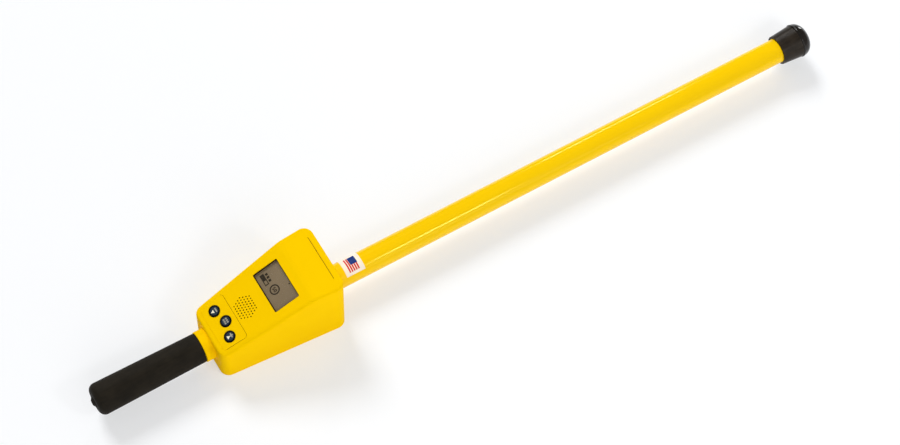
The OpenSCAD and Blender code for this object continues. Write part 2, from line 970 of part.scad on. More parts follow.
module handle_collar() {
    color("#f5c400")
        along_tube(-half_len - collar_len)
            difference() {
                union() {
                    cylinder(d = collar_d, h = collar_len);
                    cylinder(d = spigot_d, h = collar_len + wall);
                }
                translate([0, 0, -over])
                    cylinder(r = tube_r + fit_gap, h = collar_len + wall + 2 * over);
            }
}

module front_gland() {
    color("#f5c400")
        along_tube(half_len - wall)
            difference() {
                union() {
                    cylinder(d = gland_spigot_d, h = wall + washer_t + gland_t);
                    translate([0, 0, wall + washer_t])
                        cylinder(d = gland_d, h = gland_t - 1);
                    translate([0, 0, wall + washer_t + gland_t - 1])
                        cylinder(d1 = gland_d, d2 = gland_d - 2, h = 1);
                }
                translate([0, 0, -over])
                    cylinder(r = tube_r + fit_gap, h = wall + washer_t + gland_t + 2 * over);
            }
}

module front_seal() {
    color("#2a2a2a")
        along_tube(half_len)
            difference() {
                cylinder(d = gland_d - 0.6, h = washer_t);
                translate([0, 0, -over])
                    cylinder(d = gland_spigot_d + 2 * fit_gap, h = washer_t + 2 * over);
            }
}

// Two half rings that hold the tube up against the shell's ribs
module tube_straps() {
    color("#50545a")
        for (x = strap_x)
            difference() {
                union() {
                    along_tube(x - strap_w / 2)
                        cylinder(r = tube_r + fit_gap + strap_t, h = strap_w);
                    translate([x - strap_w / 2, -strap_screw_y - 4, axis_h - 4.4])
                        cube([strap_w, 2 * strap_screw_y + 8, 4]);
                }
                along_tube(x - strap_w)
                    cylinder(r = tube_r + fit_gap, h = 2 * strap_w);
                translate([x - strap_w, -2 * tube_d, axis_h - 0.4])
                    cube([2 * strap_w, 4 * tube_d, 2 * tube_d]);
                for (m = [-1, 1])
                    translate([x, m * strap_screw_y, axis_h - 8])
                        cylinder(r = 1.5 + fit_gap, h = 10);
            }
}

module strap_screws() {
    color("#b8bcc0")
        for (x = strap_x, m = [-1, 1])
            translate([x, m * strap_screw_y, axis_h - 4.4])
                pan_screw(3, strap_screw_len);
}

// Grip with a rounded, slightly domed butt and a small nib in its middle
module grip() {
    r0 = grip_front_d / 2;
    r1 = grip_butt_d / 2;
    nib_r = 4;
    color("#1b1714")
        along_tube(grip_x0)
            difference() {
                rotate_extrude()
                    polygon(concat(
                        [[0, -2], [nib_r - 1, -2], [nib_r, -1]],
                        [[nib_r, 0.2]],
                        arc([r1 - grip_round, grip_round + 1], grip_round, -90, 0),
                        arc([r0 - 1.2, grip_len - 1.2], 1.2, 0, 90, 4),
                        [[0, grip_len]]));
                translate([0, 0, grip_end])
                    cylinder(r = tube_r + fit_gap, h = grip_len);
            }
}

module butt_plug() {
    color("#4a4a4a")
        along_tube(tube_x0)
            difference() {
                cylinder(r = bore_r - fit_gap, h = 18);
                translate([0, 0, 4])
                    cylinder(r = bore_r - 3, h = 18);
            }
}

// Rubber cap: a cone that flares into a rounded foot
module tip_cap() {
    r0 = cap_rim_d / 2;
    r2 = cap_foot_d / 2;
    r1 = r2 - 2;
    neck = cap_len - 16;
    color("#17140f")
        along_tube(tip_x)
            difference() {
                rotate_extrude()
                    polygon(concat(
                        [[0, 0], [r0 - 0.8, 0], [r0, 0.8], [r1, neck]],
                        [[r1 + 0.6, neck + 2.4], [r2 - 0.5, neck + 4.6]],
                        arc([r2 - 8, cap_len - 8.5], 8, 12, 90),
                        [[0, cap_len - 0.5]]));
                translate([0, 0, -over])
                    cylinder(r = tube_r + fit_gap, h = cap_len - cap_floor + over);
            }
}

module tip_plug() {
    color("#4a4a4a")
        along_tube(plug_x)
            difference() {
                cylinder(r = bore_r - fit_gap, h = plug_len);
                translate([0, 0, -over])
                    cylinder(r = rod_d / 2 + fit_gap, h = 12 + over);
            }
}

module sensor_rod() {
    color("#b9b38c")
        along_tube(rod_x0)
            cylinder(d = rod_d, h = plug_x + 12 - rod_x0);
}

// A wound coil on its flanged former, threaded on the rod
module sensor(x) {
    along_tube(x - sensor_len / 2)
        difference() {
            union() {
                cylinder(d = sensor_d - 4, h = sensor_len);
                translate([0, 0, 4])
                    cylinder(d = sensor_d - 1, h = sensor_len - 8);
                for (z = [0, sensor_len - 3])
                    translate([0, 0, z])
                        cylinder(d = sensor_d, h = 3);
            }
            translate([0, 0, -over])
                cylinder(r = rod_d / 2 + fit_gap, h = sensor_len + 2 * over);
        }
}

module sensor_upper() {
    color("#a8572a")
        sensor(high_sensor_x);
}

module sensor_lower() {
    color("#a8572a")
        sensor(low_sensor_x);
}

module rod_spacers() {
    color("#8f8f8a")
        for (x = spacer_mids)
            along_tube(x - spacer_len / 2)
                difference() {
                    cylinder(r = bore_r - fit_gap, h = spacer_len);
                    translate([0, 0, -over])
                        cylinder(r = rod_d / 2 + fit_gap, h = spacer_len + 2 * over);
                }
}

// Last points of a lead, straight into its socket from below
function into_socket(at, run) = [for (k = [1, 0.5, 0]) face_point(at.x, at.y, socket_z + run * k)];

module sensor_cable() {
    in_tube = rod_x0 - tube_inner;
    out = [for (p = [[2, 2], [14, 9], [22, 18]]) [tube_inner - p.x, 0, axis_h + p.y]];
    color("#2f2f2f")
        lead(concat(
            [[rod_x0 - lead_gap, 0, axis_h]],
            [for (k = [0.6, 0.35, 0.15]) [tube_inner + in_tube * k, 0, axis_h]],
            out, into_socket(sensor_socket, 12)), sensor_lead_d);
}

module battery_lead() {
    start = [bay_x1 - block_t / 2, bay_w / 2 - 4, battery_top - 3 + lead_gap];
    color("#7a1f1f")
        lead(concat(
            [for (k = [0, 5, 10]) start + [0, 0, k]],
            [(start + [0, 0, 10] + into_socket(battery_socket, 10)[0]) / 2],
            into_socket(battery_socket, 10)), battery_lead_d);
}

module sounder_lead() {
    at = [speaker_at + 4 * face_k, sounder_socket.y];
    case_z = cloth_z + sounder_h + lead_gap;
    mid = (at + sounder_socket) / 2;
    color("#7a1f1f")
        lead(concat(
            [for (k = [0, 3, 6]) face_point(at.x, at.y, case_z + k)],
            [face_point(mid.x, mid.y, socket_z + 3)],
            into_socket(sounder_socket, 5)), sounder_lead_d);
}

housing_shell();
keypad_overlay();
button_left();
button_middle();
button_right();
top_plate();
display_window();
display_gasket();
display_panel();
display_board();
display_spacers();
keypad_board();
key_domes();
keypad_screws();
keypad_ribbon();
main_board();
board_chips();
board_sockets();
main_board_screws();
sounder_cloth();
sounder_case();
sounder_disc();
base_plate();
base_gasket();
base_screws();
battery_door();
door_seal();
door_pad();
door_hinge_pin();
door_screw();
door_screw_ring();
battery_tray();
contact_block();
battery_contacts();
battery_left();
battery_right();
sensor_tube();
handle_tube();
handle_collar();
front_gland();
front_seal();
tube_straps();
strap_screws();
grip();
butt_plug();
tip_cap();
tip_plug();
sensor_rod();
sensor_upper();
sensor_lower();
rod_spacers();
sensor_cable();
battery_lead();
sounder_lead();
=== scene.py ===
"""Magnetic locator: the finishes and the finer pieces, in metres, in the part's own frame."""
import json
import math

import bmesh
import bpy
from mathutils import Matrix, Vector


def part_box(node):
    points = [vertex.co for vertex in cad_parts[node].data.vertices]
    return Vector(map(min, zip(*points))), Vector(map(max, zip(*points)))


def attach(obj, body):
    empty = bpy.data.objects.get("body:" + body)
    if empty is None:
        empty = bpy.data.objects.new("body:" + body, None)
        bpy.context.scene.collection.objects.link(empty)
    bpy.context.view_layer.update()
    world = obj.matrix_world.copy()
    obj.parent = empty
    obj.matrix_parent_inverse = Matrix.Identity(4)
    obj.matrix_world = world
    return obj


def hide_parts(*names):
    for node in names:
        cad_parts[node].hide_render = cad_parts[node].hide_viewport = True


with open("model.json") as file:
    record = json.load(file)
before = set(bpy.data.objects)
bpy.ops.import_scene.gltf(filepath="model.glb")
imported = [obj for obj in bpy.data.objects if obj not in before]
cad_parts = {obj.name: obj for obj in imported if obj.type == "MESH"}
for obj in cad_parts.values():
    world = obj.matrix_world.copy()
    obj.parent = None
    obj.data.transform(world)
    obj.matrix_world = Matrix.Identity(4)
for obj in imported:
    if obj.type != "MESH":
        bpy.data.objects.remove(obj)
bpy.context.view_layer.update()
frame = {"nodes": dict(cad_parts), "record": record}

MM = 0.001
NODES = frame["nodes"]
JOINTS = {joint["name"]: joint for joint in frame["record"]["behaviour"]["joints"]}

# The tube's axis, from the tube itself
tube_low, tube_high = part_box("sensor_tube")
AXIS_Z = (tube_low.z + tube_high.z) / 2
TUBE_R = (tube_high.z - tube_low.z) / 2

# The sloping control face: its outward direction is the way that a button comes back up
shell_low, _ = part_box("housing_shell")
FACE_OUT = -Vector(JOINTS["left_button_press"]["axis"]).normalized()
FACE_SLOPE = math.atan2(-FACE_OUT.x, FACE_OUT.z)
FACE_LEVEL = max(v.co.dot(FACE_OUT) for v in NODES["keypad_overlay"].data.vertices)
FACE_Z = (FACE_LEVEL - FACE_OUT.x * shell_low.x) / FACE_OUT.z
FACE_FOOT = Vector((shell_low.x, 0, FACE_Z))
FACE = Matrix.Translation(FACE_FOOT) @ Matrix.Rotation(-FACE_SLOPE, 4, "Y")
TO_FACE = FACE.inverted()
UP_SLOPE = FACE.to_3x3() @ Vector((1, 0, 0))


def rgb(red, green, blue):
    """A display colour, 0 to 255, as the linear colour that a shader takes."""
    def linear(value):
        share = value / 255
        return share / 12.92 if share <= 0.04045 else ((share + 0.055) / 1.055) ** 2.4
    return (linear(red), linear(green), linear(blue), 1.0)


# Shader maths

class Wire:
    """An output socket that takes part in Python sums."""

    def __init__(self, tree, socket):
        self.tree = tree
        self.socket = socket

    def sum_with(self, operation, first, second):
        return self.tree.node("Math", {"operation": operation}, {0: first, 1: second})

    def __add__(self, other):
        return self.sum_with("ADD", self, other)

    def __radd__(self, other):
        return self.sum_with("ADD", other, self)

    def __sub__(self, other):
        return self.sum_with("SUBTRACT", self, other)

    def __rsub__(self, other):
        return self.sum_with("SUBTRACT", other, self)

    def __mul__(self, other):
        return self.sum_with("MULTIPLY", self, other)

    def __rmul__(self, other):
        return self.sum_with("MULTIPLY", other, self)

    def __gt__(self, other):
        return self.sum_with("GREATER_THAN", self, other)

    def __lt__(self, other):
        return self.sum_with("LESS_THAN", self, other)


class Tree:
    """A node tree with one method that adds any node."""

    def __init__(self, graph):
        self.graph = graph
        graph.nodes.clear()

    def node(self, kind, settings=None, sockets=None, output=0):
        """Adds a node with its settings and sockets, and gives one of its outputs."""
        made = self.graph.nodes.new("ShaderNode" + kind)
        for name, value in (settings or {}).items():
            setattr(made, name, value)
        for name, value in (sockets or {}).items():
            self.feed(made.inputs[name], value)
        return Wire(self, made.outputs[output]) if made.outputs else None

    def feed(self, socket, value):
        if isinstance(value, Wire):
            self.graph.links.new(value.socket, socket)
        else:
            socket.default_value = value

    def mix(self, share, first, second):
        """A colour between two colours."""
        return self.node("Mix", {"data_type": "RGBA"}, {0: share, 6: first, 7: second}, 2)

    def place(self, centre=(0, 0, 0), turn=(0, 0, 0), stretch=(1, 1, 1)):
        """Object coordinates seen from a frame with this centre, turn and unit lengths."""
        where = self.node("TexCoord", output=3)
        mapping = {"Vector": where, "Location": centre, "Rotation": turn, "Scale": stretch}
        return self.node("Mapping", {"vector_type": "TEXTURE"}, mapping)

    def face_place(self):
        """Coordinates up the control face, across it and out of it."""
        return self.place(tuple(FACE_FOOT), (0, -FACE_SLOPE, 0))

    def axes(self, where):
        """The three coordinates of a place."""
        split = self.node("SeparateXYZ", None, {"Vector": where})
        return [Wire(self, socket) for socket in split.socket.node.outputs]

    def noise(self, where, size, detail=3.0, roughness=0.55):
        """Soft noise whose blotches are about one size across."""
        sockets = {"Vector": where, "Scale": 1 / size, "Detail": detail, "Roughness": roughness}
        return self.node("TexNoise", None, sockets)

    def spread(self, value, low, high):
        """A value from 0 to 1, mapped to a range."""
        return self.node("MapRange", None, {"Value": value, "To Min": low, "To Max": high})

    def between(self, value, low, high):
        """One where a value lies between two limits, and nought elsewhere."""
        return (value > low) * (value < high)

    def fold(self, value, width):
        """A value folded to and fro between nought and a width."""
        return self.node("Math", {"operation": "PINGPONG"}, {0: value, 1: width})

    def wave(self, value, length):
        """A sine of a value, with one wave in each length."""
        return self.node("Math", {"operation": "SINE"}, {0: value * (math.tau / length)})

    def bump(self, height, depth, strength):
        """The normal of a surface that a height raises by up to a depth."""
        return self.node("Bump", None, {"Height": height, "Distance": depth, "Strength": strength})


class Finish(Tree):
    """A material made of one principled shader."""

    def __init__(self, name):
        self.material = bpy.data.materials.new(name)
        self.material.use_nodes = True
        super().__init__(self.material.node_tree)

    def shade(self, **sockets):
        named = {name.replace("_", " "): value for name, value in sockets.items()}
        shader = self.node("BsdfPrincipled", None, named)
        self.node("OutputMaterial", None, {"Surface": shader})
        return self.material


# Finishes

YELLOW = rgb(252, 205, 2)
DEEP_YELLOW = rgb(247, 197, 0)
TUBE_YELLOW = rgb(247, 201, 2)
PALE_YELLOW = rgb(252, 208, 4)
YELLOW_GLOSS = (1.0, 1.0, 0.28, 1.0)


def yellow_moulding(name, main, deep, grain=0.6 * MM, depth=0.06 * MM, rough=0.42):
    """Moulded plastic: slow drifts of colour, a fine spark-eroded grain and faint rub marks."""
    finish = Finish(name)
    where = finish.place()
    rub_place = finish.place(turn=(0.3, 0.2, 0.9), stretch=(1, 0.09, 1))
    drift = finish.noise(where, size=38 * MM, detail=2.0)
    rubs = finish.noise(rub_place, size=9 * MM, detail=4.0, roughness=0.7)
    grains = finish.noise(where, size=grain, detail=2.0, roughness=0.6)
    return finish.shade(
        Base_Color=finish.mix(finish.spread(drift, 0.0, 0.7), main, deep),
        Roughness=finish.spread(rubs, rough - 0.1, rough + 0.12),
        Specular_IOR_Level=0.004,
        Specular_Tint=YELLOW_GLOSS,
        Normal=finish.bump(grains, depth, strength=0.9))


def yellow_tube_finish():
    """Painted tube: drawn lines along its length under a smooth coat."""
    finish = Finish("yellow_tube")
    where = finish.place()
    line_place = finish.place(stretch=(0.3, 0.004, 0.004))
    lines = finish.noise(line_place, size=0.4)
    peel = finish.noise(where, size=2.2 * MM, detail=1.0)
    drift = finish.noise(where, size=60 * MM, detail=2.0)
    colour = finish.mix(finish.spread(drift, 0.0, 0.55), TUBE_YELLOW, DEEP_YELLOW)
    return finish.shade(
        Base_Color=finish.mix(finish.spread(lines, 0.0, 0.2), colour, PALE_YELLOW),
        Roughness=finish.spread(lines, 0.08, 0.12),
        Specular_IOR_Level=0.3,
        Specular_Tint=YELLOW_GLOSS,
        Normal=finish.bump(peel, 0.02 * MM, strength=0.35))


def rubber(name, dark, pale, grain, depth, rough=(0.5, 0.72), level=0.3):
    """Rubber: a bloom of paler patches, short streaks along the axis and a fine grain."""
    finish = Finish(name)
    where = finish.place()
    streak_place = finish.place(stretch=(1, 0.16, 0.16))
    bloom = finish.noise(where, size=26 * MM, detail=4.0, roughness=0.6)
    streaks = finish.noise(streak_place, size=22 * MM, detail=4.0, roughness=0.65)
    grains = finish.noise(where, size=grain, roughness=0.7)
    share = finish.spread(bloom * 0.55 + streaks * 0.45, -0.5, 1.5)
    return finish.shade(
        Base_Color=finish.mix(share, dark, pale),
        Roughness=finish.spread(streaks, *rough),
        Specular_IOR_Level=level,
        Normal=finish.bump(grains, depth, strength=0.7))


def plain_plastic(name, main, second, size):
    """Small moulding: cloudy colour and a fine grain."""
    finish = Finish(name)
    where = finish.place()
    cloud = finish.noise(where, size)
    grains = finish.noise(where, size=0.3 * MM, detail=2.0)
    return finish.shade(
        Base_Color=finish.mix(cloud, main, second),
        Roughness=finish.spread(cloud, 0.4, 0.6),
        Normal=finish.bump(grains, 0.008 * MM, strength=0.5))


def turned_metal(name, main, second):
    """Bright metal with fine tool lines and a little tarnish."""
    finish = Finish(name)
    lines = finish.noise(finish.place(stretch=(1, 1, 0.05)), size=1.2 * MM, roughness=0.7)
    tarnish = finish.noise(finish.place(), size=3 * MM, detail=4.0)
    return finish.shade(
        Base_Color=finish.mix(tarnish, main, second),
        Metallic=1.0,
        Roughness=finish.spread(lines, 0.22, 0.42),
        Normal=finish.bump(lines, 0.006 * MM, strength=0.4))


def circuit_finish():
    """Green board: solder resist over branching tracks, with tinned pads."""
    finish = Finish("circuit_board")
    where = finish.face_place()
    up, _, _ = finish.axes(where)
    cell = 4 * MM
    cells = finish.node("TexVoronoi", {"distance": "MANHATTAN", "feature": "F1"},
                        {"Vector": where, "Scale": 1 / cell, "Randomness": 0.55})
    lanes = finish.fold(up + cells * cell, 0.9 * MM)
    track = finish.between(lanes, 0.5 * MM, 0.75 * MM)
    pad = cells < 0.16
    green = finish.mix(finish.spread(track, 0.0, 0.7), rgb(24, 82, 48), rgb(46, 122, 74))
    return finish.shade(
        Base_Color=finish.mix(pad, green, rgb(196, 190, 178)),
        Metallic=pad * 0.9,
        Roughness=finish.spread(pad, 0.42, 0.28),
        Normal=finish.bump(track + pad, 0.03 * MM, strength=0.5))


def cloth_finish():
    """Woven dust cloth: two sets of threads across each other."""
    finish = Finish("sounder_cloth")
    up, across, _ = finish.axes(finish.face_place())
    thread = 0.55 * MM
    weave = finish.spread(finish.wave(up, thread) * finish.wave(across, thread), 0.0, 1.0)
    return finish.shade(
        Base_Color=finish.mix(weave, rgb(66, 31, 3), rgb(98, 48, 8)),
        Roughness=0.9,
        Specular_IOR_Level=0.05,
        Normal=finish.bump(weave, 0.1 * MM, strength=0.8))


def winding_finish():
    """Enamelled wire, wound in close turns round the sensor's axis."""
    finish = Finish("coil")
    where = finish.place()
    along, _, _ = finish.axes(where)
    drift = finish.noise(where, size=8 * MM, detail=2.0)
    return finish.shade(
        Base_Color=finish.mix(drift, rgb(150, 72, 34), rgb(186, 102, 52)),
        Metallic=0.8,
        Roughness=finish.spread(drift, 0.25, 0.4),
        Normal=finish.bump(finish.wave(along, 0.6 * MM), 0.1 * MM, strength=0.9))


def battery_finish():
    """Battery sleeve: a dark wrap with a paler band at the terminal end."""
    finish = Finish("battery")
    low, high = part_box("battery_left")
    where = finish.place()
    along, _, _ = finish.axes(where)
    band_from = low.x + 0.72 * (high.x - low.x)
    band = along > band_from
    cloud = finish.noise(where, size=14 * MM)
    wrap = finish.mix(cloud, rgb(32, 34, 40), rgb(46, 48, 56))
    return finish.shade(
        Base_Color=finish.mix(band, wrap, rgb(196, 170, 110)),
        Roughness=finish.spread(cloud, 0.28, 0.42),
        Metallic=band * 0.35)


def ribbon_finish():
    """Flat lead of parallel ways under a clear sleeve."""
    finish = Finish("ribbon")
    _, across, _ = finish.axes(finish.place())
    ways = finish.fold(across, 0.6 * MM) > 0.32 * MM
    return finish.shade(
        Base_Color=finish.mix(ways, rgb(196, 198, 200), rgb(236, 234, 226)),
        Roughness=finish.spread(ways, 0.3, 0.45),
        Normal=finish.bump(ways, 0.05 * MM, strength=0.5))


def display_finish():
    """Liquid-crystal glass: warm grey with a slow cloud and the faint grid of its cells."""
    finish = Finish("display")
    where = finish.face_place()
    up, across, _ = finish.axes(where)
    half_cell = 0.35 * MM
    half_gap = 0.05 * MM
    cells = (finish.fold(up, half_cell) > half_gap) * (finish.fold(across, half_cell) > half_gap)
    cloud = finish.noise(where, size=22 * MM, detail=2.0)
    glass = finish.mix(cloud, rgb(130, 112, 86), rgb(142, 124, 97))
    return finish.shade(
        Base_Color=finish.mix((1 - cells) * 0.12, glass, rgb(92, 82, 66)),
        Roughness=finish.spread(cloud, 0.3, 0.42),
        Specular_IOR_Level=0.15)


# The clear field of the display's window, up the face and across it
VIEW_UP = (87.9 * MM, 122.5 * MM)
VIEW_ACROSS = (-28.9 * MM, 28.6 * MM)


def window_finish():
    """Clear cover with a dark printed border and the faintest haze of wiping."""
    finish = Finish("window")
    wipe_place = finish.place(turn=(0, 0, 0.7), stretch=(1, 0.12, 1))
    wipes = finish.noise(wipe_place, size=12 * MM, detail=4.0)
    up, across, _ = finish.axes(finish.face_place())
    inside = finish.between(up, *VIEW_UP) * finish.between(across, *VIEW_ACROSS)
    haze = finish.mix(wipes, rgb(120, 110, 92), rgb(140, 130, 112))
    return finish.shade(
        Base_Color=finish.mix(inside, rgb(44, 25, 6), haze),
        Alpha=1 - inside * finish.spread(wipes, 0.97, 0.92),
        Roughness=finish.spread(wipes, 0.04, 0.12),
        Specular_IOR_Level=0.25)


def button_finish(name, main, second, level):
    """Silicone button: a soft skin with a fine tooth."""
    finish = Finish(name)
    where = finish.place()
    cloud = finish.noise(where, size=5 * MM)
    tooth = finish.noise(where, size=0.25 * MM, detail=2.0)
    return finish.shade(
        Base_Color=finish.mix(cloud, main, second),
        Roughness=finish.spread(cloud, 0.34, 0.5),
        Specular_IOR_Level=level,
        Normal=finish.bump(tooth, 0.01 * MM, strength=0.6))


def print_finish(name, main):
    """Screen-printed ink, a little thin in places; also used for painted shade on edges and in holes."""
    finish = Finish(name)
    thin = finish.noise(finish.place(), size=0.9 * MM)
    worn = tuple(0.78 * part for part in main[:3]) + (1.0,)
    return finish.shade(
        Base_Color=finish.mix(finish.spread(thin, -0.3, 0.8), main, worn),
        Roughness=finish.spread(thin, 0.5, 0.7),
        Specular_IOR_Level=0.06)


# The striped label round the tube, as places along it and angles round it from the top
LABEL_X = (106.3 * MM, 132.8 * MM)
LABEL_TURN = (math.radians(-48), math.radians(72))
STRIPES_X = (112.0 * MM, 126.3 * MM)
STRIPES_TURN = (math.radians(-35), math.radians(37))
BLOCK_X = (117.4 * MM, 127.0 * MM)
BLOCK_TURN = (math.radians(-4.5), math.radians(37))
STRIPE_COUNT = 5
STRIPE_SHARE = 0.66


def label_finish():
    """White vinyl with red stripes that run round the tube and one blue block."""
    finish = Finish("tube_label")
    where = finish.place((0, 0, AXIS_Z))
    along, across, up = finish.axes(where)
    turn = finish.node("Math", {"operation": "ARCTAN2"}, {0: across, 1: up})
    pitch = (STRIPES_X[1] - STRIPES_X[0]) / (STRIPE_COUNT - 1 + STRIPE_SHARE)
    count = (along - STRIPES_X[0]) * (1 / pitch)
    within = finish.node("Math", {"operation": "FRACT"}, {0: count})
    field = finish.between(along, *STRIPES_X) * finish.between(turn, *STRIPES_TURN)
    stripes = (within < STRIPE_SHARE) * field
    block = finish.between(along, *BLOCK_X) * finish.between(turn, *BLOCK_TURN)
    wear = finish.noise(where, size=1.6 * MM)
    white = finish.mix(wear, rgb(250, 243, 232), rgb(240, 228, 214))
    red = finish.mix(wear, rgb(200, 34, 36), rgb(212, 54, 50))
    blue = finish.mix(wear, rgb(4, 30, 104), rgb(8, 58, 140))
    return finish.shade(
        Base_Color=finish.mix(block, finish.mix(stripes, white, red), blue),
        Roughness=finish.spread(wear, 0.32, 0.48),
        Specular_IOR_Level=0.12)


FLOOR_WHITE = (0.945, 0.968, 1.0, 1.0)
FLOOR_MOTTLE = (0.938, 0.961, 0.993, 1.0)
FLOOR_GLOW = 0.47


def floor_finish():
    """Plain pale floor with the faintest mottle, lifted towards white where the camera sees it."""
    finish = Finish("floor")
    mottle = finish.noise(finish.place(), size=0.3, detail=2.0)
    colour = finish.mix(mottle, FLOOR_WHITE, FLOOR_MOTTLE)
    matt = finish.node("BsdfDiffuse", None, {"Color": colour})
    clear = finish.node("Emission", None, {"Color": (1, 1, 1, 1), "Strength": 1.0})
    path = finish.node("LightPath").socket.node.outputs
    seen = sum((Wire(finish, path[name]) for name in ("Is Glossy Ray", "Is Transmission Ray")),
               Wire(finish, path["Is Camera Ray"]))
    blend = finish.node("MixShader", None, {0: seen * FLOOR_GLOW, 1: matt, 2: clear})
    finish.node("OutputMaterial", None, {"Surface": blend})
    return finish.material


FINISHES = {
    "yellow_shell": yellow_moulding("yellow_shell", YELLOW, DEEP_YELLOW),
    "yellow_base": yellow_moulding("yellow_base", DEEP_YELLOW, rgb(236, 184, 4),
                                   grain=0.8 * MM, depth=0.08 * MM, rough=0.5),
    "yellow_tube": yellow_tube_finish(),
    "yellow_panel": yellow_moulding("yellow_panel", YELLOW, DEEP_YELLOW,
                                    grain=0.3 * MM, depth=0.015 * MM, rough=0.36),
    "button": button_finish("button", rgb(5, 5, 6), rgb(11, 11, 13), level=0.08),
    "window": window_finish(),
    "display": display_finish(),
    "seal_rubber": rubber("seal_rubber", rgb(22, 21, 20), rgb(38, 36, 34),
                          grain=0.3 * MM, depth=0.02 * MM),
    "circuit_board": circuit_finish(),
    "chip": plain_plastic("chip", rgb(24, 24, 26), rgb(40, 40, 42), size=2 * MM),
    "socket": plain_plastic("socket", rgb(226, 220, 204), rgb(206, 198, 180), size=4 * MM),
    "ribbon": ribbon_finish(),
    "steel": turned_metal("steel", rgb(190, 192, 194), rgb(160, 162, 166)),
    "brass": turned_metal("brass", rgb(214, 178, 96), rgb(182, 142, 70)),
    "cloth": cloth_finish(),
    "dark_plastic": plain_plastic("dark_plastic", rgb(40, 41, 44), rgb(58, 59, 62), size=8 * MM),
    "battery": battery_finish(),
    "grip_rubber": rubber("grip_rubber", rgb(21, 19, 15), rgb(43, 38, 30),
                          grain=0.7 * MM, depth=0.12 * MM, level=0.05),
    "cap_rubber": rubber("cap_rubber", rgb(7, 5, 3), rgb(56, 48, 39),
                         grain=0.6 * MM, depth=0.04 * MM, rough=(0.2, 0.42), level=0.12),
    "rod": plain_plastic("rod", rgb(204, 196, 170), rgb(186, 176, 146), size=20 * MM),
    "coil": winding_finish(),
    "spacer": plain_plastic("spacer", rgb(70, 72, 78), rgb(92, 94, 100), size=6 * MM),
    "lead": plain_plastic("lead", rgb(48, 48, 52), rgb(66, 66, 70), size=5 * MM),
    "red_lead": plain_plastic("red_lead", rgb(168, 30, 26), rgb(140, 22, 20), size=5 * MM),
}
NAVY = button_finish("button_navy", rgb(26, 40, 58), rgb(44, 60, 78), level=0.15)
CAP_SOLE = rubber("cap_sole", rgb(7, 6, 5), rgb(36, 31, 26),
                  grain=0.8 * MM, depth=0.01 * MM, rough=(0.1, 0.2), level=0.25)
CREAM_PRINT = print_finish("cream_print", rgb(255, 248, 222))
GREY_PRINT = print_finish("grey_print", rgb(168, 164, 150))
DISPLAY_MARK = print_finish("display_mark", rgb(26, 20, 12))
# Painted shade: a brown line along the open joints of the keypad's skin and the top film
EDGE_SHADE = print_finish("edge_shade", rgb(112, 54, 0))
# Painted shade: a dark brown on the walls of the sounder's small holes
HOLE_SHADE = print_finish("hole_shade", rgb(96, 44, 0))
LABEL = label_finish()

for subpart in frame["record"]["subparts"]:
    NODES[subpart["node"]].material_slots[0].material = FINISHES[subpart["material_slot"]]


# Making pieces

# Edges that turn by more than this are shaded sharp
SHARP_EDGE = math.radians(38)
# Edges that turn by more than this can be rounded
CORNER = math.radians(40)
# Faces of a copied node that turn by less than this are one face
FLAT = math.radians(0.5)
# Vertices nearer than this are one vertex
DOUBLE = 0.002 * MM
# A place nearer than this to a level is on it
ON_LEVEL = 0.03 * MM
# A face is a side of a plate if the cosine between its normal and the plate's is less than this
SIDE = 0.5
# A face looks one way if the cosine between its normal and that way is more than this
LOOKS = 0.3
# The turned solids' steps round the axis, large and small
STEPS = 96
SMALL_STEPS = 64


def link(name, data):
    """A new object in the scene."""
    made = bpy.data.objects.new(name, data)
    bpy.context.scene.collection.objects.link(made)
    return made


def new_piece(name, bm, body, finishes, stands_for=()):
    """The object of a finished bmesh, riding on a body and standing for CAD nodes."""
    for face in bm.faces:
        face.smooth = True
    for edge in bm.edges:
        edge.smooth = len(edge.link_faces) == 2 and edge.calc_face_angle(0) < SHARP_EDGE
    mesh = bpy.data.meshes.new(name)
    bm.to_mesh(mesh)
    bm.free()
    if "custom_normal" in mesh.attributes:
        mesh.attributes.remove(mesh.attributes["custom_normal"])
    for finish in finishes:
        mesh.materials.append(finish)
    piece = link(name, mesh)
    even = piece.modifiers.new("even_normals", "WEIGHTED_NORMAL")
    even.keep_sharp = True
    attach(piece, body)
    if stands_for:
        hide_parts(*stands_for)


def close(bm):
    """Merges doubles and turns the faces outwards."""
    bmesh.ops.remove_doubles(bm, verts=bm.verts, dist=DOUBLE)
    bmesh.ops.recalc_face_normals(bm, faces=bm.faces)


def turned(bm, outline, place, steps=STEPS):
    """Adds a solid turned about the place's own z, from a closed outline of (radius, height)."""
    before = set(bm.verts)
    rim = [bm.verts.new((radius, 0, height)) for radius, height in outline]
    ring = [bm.edges.new(pair) for pair in zip(rim, rim[1:] + rim[:1])]
    bmesh.ops.spin(bm, geom=rim + ring, cent=(0, 0, 0), axis=(0, 0, 1), dvec=(0, 0, 0),
                   angle=math.tau, steps=steps, use_merge=True)
    bmesh.ops.transform(bm, matrix=place, verts=[v for v in bm.verts if v not in before])
    close(bm)


def arc(radius_at, height_at, size, first, last, count):
    """Points of an arc of an outline, from one angle to another, in degrees."""
    points = []
    for step in range(count + 1):
        angle = math.radians(first + (last - first) * step / count)
        points.append((radius_at + size * math.cos(angle), height_at + size * math.sin(angle)))
    return points


def along_tube(x):
    """A place on the tube's axis whose z runs towards the tip."""
    return Matrix.Translation((x, 0, AXIS_Z)) @ Matrix.Rotation(math.pi / 2, 4, "Y")


def on_face(up, across, out=0.0):
    """A place on the control face, up the slope and across it, whose z comes out of it."""
    return FACE @ Matrix.Translation((up, across, out))


def merged(node):
    """A copy of a CAD node whose flat faces are whole again."""
    bm = bmesh.new()
    bm.from_mesh(NODES[node].data)
    bmesh.ops.remove_doubles(bm, verts=bm.verts, dist=DOUBLE)
    bmesh.ops.dissolve_limit(bm, angle_limit=FLAT, use_dissolve_boundaries=False,
                             verts=bm.verts, edges=bm.edges, delimit=set())
    return bm


